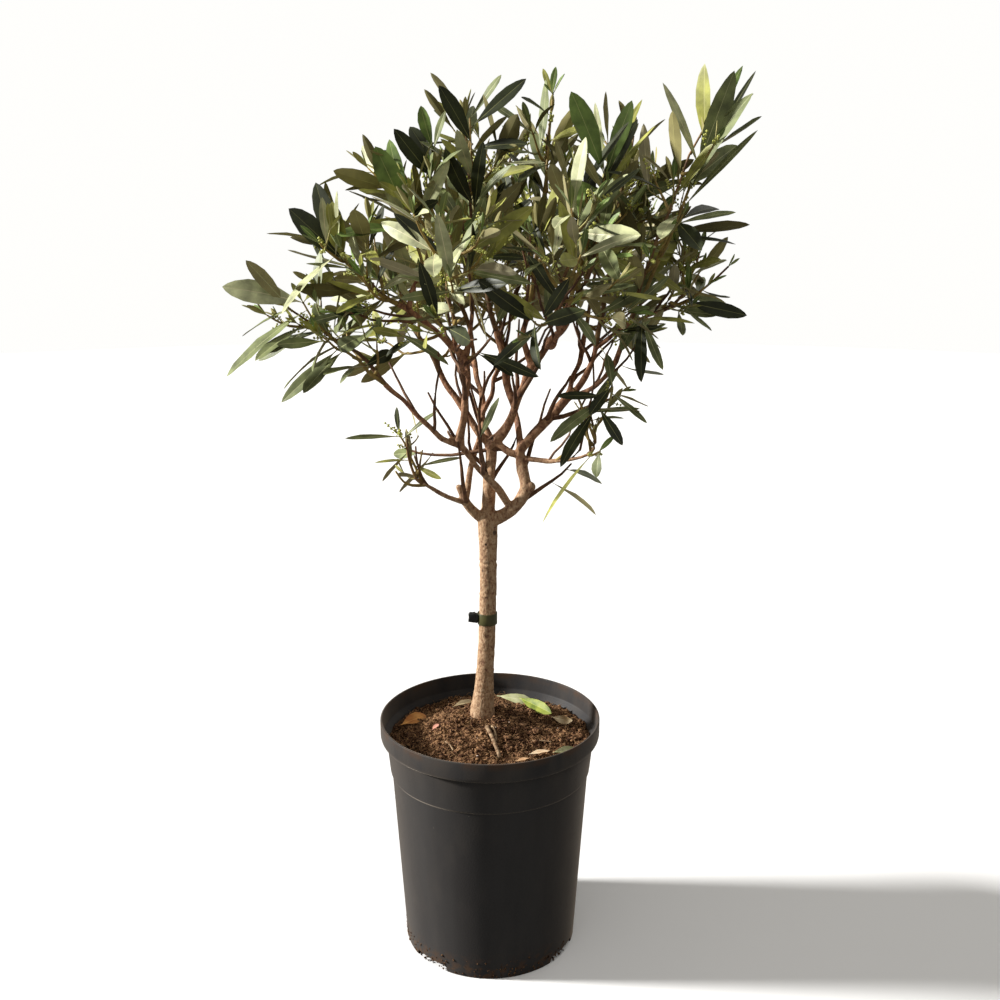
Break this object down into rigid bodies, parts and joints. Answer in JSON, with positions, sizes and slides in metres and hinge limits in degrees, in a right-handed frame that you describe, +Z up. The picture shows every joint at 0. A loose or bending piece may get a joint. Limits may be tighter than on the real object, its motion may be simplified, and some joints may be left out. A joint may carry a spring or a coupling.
{
  "type": "potted olive tree",
  "caption": "Young olive tree with an open, many-branched crown of narrow grey-green leaves on a short clear stem, standing in a plain round black nursery pot filled with compost",
  "frame": {"origin": "centre of the pot's flat underside, on the surface it stands on", "axes": "+Z up along the stem; -Y is the front of the tree; +X is to the right as seen from the front"},
  "size_m": [0.4562, 0.435, 0.814],
  "materials": {
    "pot": "moulded black plastic, dusty and lightly scuffed",
    "soil": "loose brown peat compost with bark crumbs",
    "bark": "smooth young bark, tan to grey-brown, with fine cracks and scars",
    "tie": "olive-green soft strap",
    "leaf": "leathery leaves, dark grey-green above and pale silvery below"
  },
  "bodies": {
    "root": {"pot": "pot", "soil": "soil", "tie": "tie", "trunk": "bark", "back_arm": "bark", "back_left_bough": "bark", "back_right_arm": "bark", "back_riser": "bark", "bridge": "bark", "centre_arm": "bark", "centre_right_arm": "bark", "crossing_bough": "bark", "far_left_bough": "bark", "front_left_arm": "bark", "front_right_arm": "bark", "front_riser": "bark", "golden_twig": "bark", "high_twig": "bark", "inner_riser": "bark", "leader": "bark", "left_arm": "bark", "left_bough": "bark", "left_top_twig": "bark", "left_twig": "bark", "low_right_twig": "bark", "pruned_stem": "bark", "right_arm": "bark", "right_bough": "bark", "right_reach": "bark", "right_rise": "bark", "right_riser": "bark", "upper_left_bough": "bark", "foliage_back": "leaf", "foliage_back_centre": "leaf", "foliage_back_left": "leaf", "foliage_back_right": "leaf", "foliage_centre_right": "leaf", "foliage_far_left": "leaf", "foliage_front_left": "leaf", "foliage_front_right": "leaf", "foliage_high_right": "leaf", "foliage_left_mid": "leaf", "foliage_left_sprig": "leaf", "foliage_left_top": "leaf", "foliage_low_right": "leaf", "foliage_right_low": "leaf", "foliage_right_mid": "leaf", "foliage_right_top": "leaf", "foliage_top_centre": "leaf", "foliage_top_left": "leaf", "foliage_upper_left": "leaf"}
  },
  "joints": []
}
